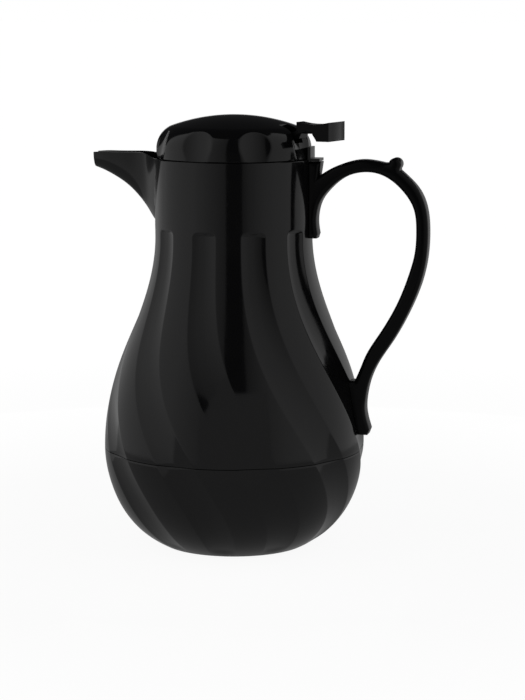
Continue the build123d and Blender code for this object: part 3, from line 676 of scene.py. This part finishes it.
wipe, start, end = new_group("wipe_marks", [("Size", 180.0), ("Low", 0.12), ("High", 0.2)],
                             ["Roughness", "Height"])
place = add_node(wipe, "TexCoord")
cloud = add_node(wipe, "TexNoise", Detail=4.0)
spread = add_node(wipe, "MapRange", From_Min=0.35, From_Max=0.65)
wave = add_node(wipe, "TexNoise", Scale=60.0, Detail=1.0)
join(wipe, (place, "Object", cloud, "Vector"), (start, "Size", cloud, "Scale"),
     (cloud, "Fac", spread, "Value"), (start, "Low", spread, "To Min"),
     (start, "High", spread, "To Max"), (spread, "Result", end, "Roughness"),
     (place, "Object", wave, "Vector"), (wave, "Fac", end, "Height"))

hairs, start, end = new_group("hairlines", [("Scale", 900.0), ("Amount", 1.0)], ["Height"])
place = add_node(hairs, "TexCoord")
turned = add_node(hairs, "Mapping", Rotation=(0.4, 0.9, 0.3), Scale=(1.0, 0.03, 0.25))
lines = add_node(hairs, "TexNoise", Detail=2.0)
thin = add_node(hairs, "MapRange", From_Min=0.62, From_Max=0.72)
strength = add_node(hairs, "Math", "MULTIPLY")
join(hairs, (place, "Object", turned, "Vector"), (turned, "Vector", lines, "Vector"),
     (start, "Scale", lines, "Scale"), (lines, "Fac", thin, "Value"),
     (thin, "Result", strength, 0), (start, "Amount", strength, 1),
     (strength, "Value", end, "Height"))
print("groups", [g.name for g in bpy.data.node_groups])

# %% Plastic, rubber, steel and foam


def new_material(name):
    """Material with nodes, its tree and its Principled shader."""
    mat = bpy.data.materials.new(name)
    mat.use_nodes = True
    return mat, mat.node_tree, mat.node_tree.nodes["Principled BSDF"]


def finish_material(name, colour, rough_low, rough_high, metallic=0.0, wave=0.02, scratch=0.004,
                    specular=0.5, size=180.0):
    """One finish, with its own roughness range, waviness and hairlines."""
    mat, tree, shader = new_material(name)
    set_inputs(shader, Base_Color=(*colour, 1), Metallic=metallic, Specular_IOR_Level=specular)
    marks = add_node(tree, "Group")
    marks.node_tree = wipe
    set_inputs(marks, Size=size, Low=rough_low, High=rough_high)
    fine = add_node(tree, "Group")
    fine.node_tree = hairs
    set_inputs(fine, Amount=scratch)
    total = add_node(tree, "Math", "MULTIPLY_ADD")
    total.inputs[1].default_value = wave
    bump = add_node(tree, "Bump", Strength=1.0, Distance=0.001)
    join(tree, (marks, "Roughness", shader, "Roughness"), (marks, "Height", total, 0),
         (fine, "Height", total, 2), (total, "Value", bump, "Height"),
         (bump, "Normal", shader, "Normal"))
    return mat


black, soft_black = (0.006, 0.006, 0.0065), (0.01, 0.01, 0.0105)
dull = 0.12                             # specular level of the pieces that shine less
finishes = {
    "shell_black": finish_material("polished_black", black, 0.09, 0.13),
    "lid_black": finish_material("polished_black_lid", black, 0.08, 0.12),
    "handle_black": finish_material("polished_black_handle", black, 0.16, 0.22, specular=dull),
    "lever_black": finish_material("polished_black_lever", black, 0.16, 0.22, specular=dull),
    "inner_black": finish_material("plain_black", soft_black, 0.3, 0.4, wave=0.05, specular=dull),
    "liner_grey": finish_material("liner_grey", (0.32, 0.32, 0.33), 0.35, 0.45),
    "foam_cream": finish_material("foam_cream", (0.80, 0.72, 0.52), 0.85, 0.95, wave=0.3,
                                  size=500.0),
    "seal_rubber": finish_material("seal_rubber", (0.45, 0.45, 0.44), 0.5, 0.65),
    "steel": finish_material("stainless", (0.62, 0.62, 0.63), 0.22, 0.32, metallic=1.0),
}
slots = {row["node"]: row["material_slot"] for row in frame["record"]["subparts"]}
for node, obj in frame["nodes"].items():
    obj.data.materials.clear()
    obj.data.materials.append(finishes[slots[node]])
for obj, slot in ((bowl_shell, "shell_black"), (neck_shell, "shell_black"), (dome, "lid_black"),
                  (loop_handle, "handle_black"), (lever, "lever_black")):
    obj.data.materials.clear()
    obj.data.materials.append(finishes[slot])
print("finishes on", len(frame["nodes"]), "nodes and 5 pieces")

# %% [markdown]
# ## Camera, floor and light
# The camera stands a little above the lid and looks slightly down, as the photographer's did. The
# picture has a plain white ground, so the floor shows white to the camera but keeps the carafe's
# shadow. What a polished black pot shows is mostly the room it reflects, so the floor has a second,
# quieter face for reflections.

# %% Camera
camera_data = bpy.data.cameras.new("camera")
camera_data.lens = 119.7
camera_data.sensor_width = 36.0
camera_data.clip_end = 50.0
camera = bpy.data.objects.new("camera", camera_data)
camera.location = (0.3103, -1.2728, 0.314)
camera.rotation_euler = (radians(90 - 8.83), 0, radians(13.0))
bpy.context.scene.collection.objects.link(camera)
bpy.context.scene.camera = camera

# %% Floor
card_glow, far_glow = 0.24, 0.03        # how bright the floor's painted reflection glows, near and far
start_clean()
bpy.ops.mesh.primitive_plane_add(size=40, location=(0, 0, 0))
floor = bpy.context.object
floor.name = "floor"
paper, tree, shader = new_material("white_paper")
set_inputs(shader, Base_Color=(0.6, 0.6, 0.6, 1), Roughness=0.9, Specular_IOR_Level=0.0)
place = add_node(tree, "TexCoord")
ray = add_node(tree, "LightPath")

# what the camera sees: paper that is a little darker round the foot, with the shadow on it
dim = add_node(tree, "BsdfDiffuse", Color=(0.16, 0.16, 0.16, 1))
reach = add_node(tree, "VectorMath", "LENGTH")
fade = add_node(tree, "MapRange", From_Min=0.2, From_Max=0.7, To_Min=0.93, To_Max=1.0)
glow = add_node(tree, "Emission")
seen = add_node(tree, "AddShader")
join(tree, (place, "Object", reach, 0), (reach, "Value", fade, "Value"),
     (fade, "Result", glow, "Strength"), (dim, "BSDF", seen, 0), (glow, "Emission", seen, 1))

# what the carafe reflects: a painted reflection, a floor that glows dimly by itself in reflections
# only and ends in front of it
front = add_node(tree, "VectorMath", "DOT_PRODUCT")
front.inputs[1].default_value = Vector((camera.location.x, camera.location.y, 0)).normalized()
edge = add_node(tree, "MapRange", From_Min=0.40, From_Max=0.55, To_Min=card_glow, To_Max=far_glow)
painted_reflection = add_node(tree, "Emission")
mirrored = add_node(tree, "MixShader")
join(tree, (place, "Object", front, 0), (front, "Value", edge, "Value"),
     (edge, "Result", painted_reflection, "Strength"), (ray, "Is Glossy Ray", mirrored, "Fac"),
     (shader, "BSDF", mirrored, 1), (painted_reflection, "Emission", mirrored, 2))

mix = add_node(tree, "MixShader")
join(tree, (ray, "Is Camera Ray", mix, "Fac"), (mirrored, "Shader", mix, 1),
     (seen, "Shader", mix, 2), (mix, "Shader", tree.nodes["Material Output"], "Surface"))
floor.data.materials.append(paper)
print("floor", paper.name)

# %% [markdown]
# ## The room it reflects
# The room is nearly dark. A tall lit screen curves round each side of the carafe and leans in at
# the top, with a narrow gap between the two where the camera stands: that gap is the dark line
# down the front. The screens get dimmer towards the gap, a third one closes the back, and the
# camera sees none of them.

# %% Studio dark
world = bpy.data.worlds.new("studio")
bpy.context.scene.world = world
world.use_nodes = True
tree = world.node_tree
ground = set_inputs(tree.nodes["Background"], Color=(0.022, 0.022, 0.023, 1), Strength=1.0)
white = add_node(tree, "Background", Color=(1, 1, 1, 1))
ray = add_node(tree, "LightPath")
mix = add_node(tree, "MixShader")
join(tree, (ray, "Is Camera Ray", mix, "Fac"), (ground, "Background", mix, 1),
     (white, "Background", mix, 2), (mix, "Shader", tree.nodes["World Output"], "Surface"))
print("world", world.name)

# %% Curved screens
camera_side = degrees(atan2(camera.location.y, camera.location.x))
# degrees round the carafe from the camera's side, and how bright the screens are there
glow_round = ((-176, 0.22), (-152, 0.30), (-143, 0.42), (-119, 0.43), (-88, 0.46), (-58, 0.44),
              (-34, 0.30), (-12, 0.18), (11, 0.13), (25, 0.25), (42, 0.35), (60, 0.40), (96, 0.40),
              (132, 0.44), (152, 0.30), (176, 0.22))


def screen_glow():
    """Emission that fades from the sides towards the gap, by the angle round the carafe."""
    mat, tree, shader = new_material("lit_screen")
    tree.nodes.remove(shader)
    where = add_node(tree, "TexCoord")
    turned = add_node(tree, "Mapping", Rotation=(0, 0, radians(-camera_side)))
    parts = add_node(tree, "SeparateXYZ")
    angle = add_node(tree, "Math", "ARCTAN2")
    share = add_node(tree, "MapRange", From_Min=-pi, From_Max=pi)
    ramp = add_node(tree, "ValToRGB")
    lamp = add_node(tree, "Emission")
    stops = ramp.color_ramp.elements
    stops.remove(stops[1])
    stops[0].position = 0.0
    stops[0].color = (glow_round[0][1],) * 3 + (1,)
    for turn, level in glow_round:
        stops.new((turn + 180) / 360).color = (level, level, level, 1)
    join(tree, (where, "Object", turned, "Vector"), (turned, "Vector", parts, "Vector"),
         (parts, "Y", angle, 0), (parts, "X", angle, 1), (angle, "Value", share, "Value"),
         (share, "Result", ramp, "Fac"), (ramp, "Color", lamp, "Color"),
         (lamp, "Emission", tree.nodes["Material Output"], "Surface"))
    return mat


def screen(name, first, last, line, mat):
    """An upright line spun from one angle to another round the carafe, unseen by the camera."""
    obj = draw_line(name, line, closed=False)
    obj.data.transform(Matrix.Rotation(radians(camera_side + first), 4, "Z"))
    bpy.ops.object.mode_set(mode="EDIT")
    bpy.ops.mesh.select_all(action="SELECT")
    bpy.ops.mesh.spin(steps=24, angle=radians(last - first), center=(0, 0, 0), axis=(0, 0, -1))
    bpy.ops.object.mode_set(mode="OBJECT")
    obj.data.materials.append(mat)
    obj.visible_camera = False
    print(name, "from", first, "to", last, "degrees")


gap_half, wall_end, canopy_end = 11, 150, 118
wall = [(420, 0), (420, 280)]
canopy = [(420, 280), (400, 420), (345, 570), (270, 660)]
light = screen_glow()
screen("left_wall", -wall_end, -gap_half, wall, light)
screen("left_canopy", -canopy_end, -gap_half, canopy, light)
screen("right_wall", gap_half, wall_end, wall, light)
screen("right_canopy", gap_half, canopy_end, canopy, light)
screen("back_screen", wall_end, 360 - wall_end, [(440, 0), (440, 285)], light)

# %% [markdown]
# ## A card low in front
# It closes the foot of the gap, so the dark line ends on the belly as it does in the photo.

# %% Low card
pale, tree, shader = new_material("pale_card")
set_inputs(shader, Base_Color=(0.01, 0.01, 0.01, 1), Roughness=0.9,
           Emission_Color=(1, 1, 1, 1), Emission_Strength=card_glow)
screen("low_card", -26, 26, [(190, 0), (190, 150)], pale)

bpy.context.scene.view_settings.view_transform = "Standard"
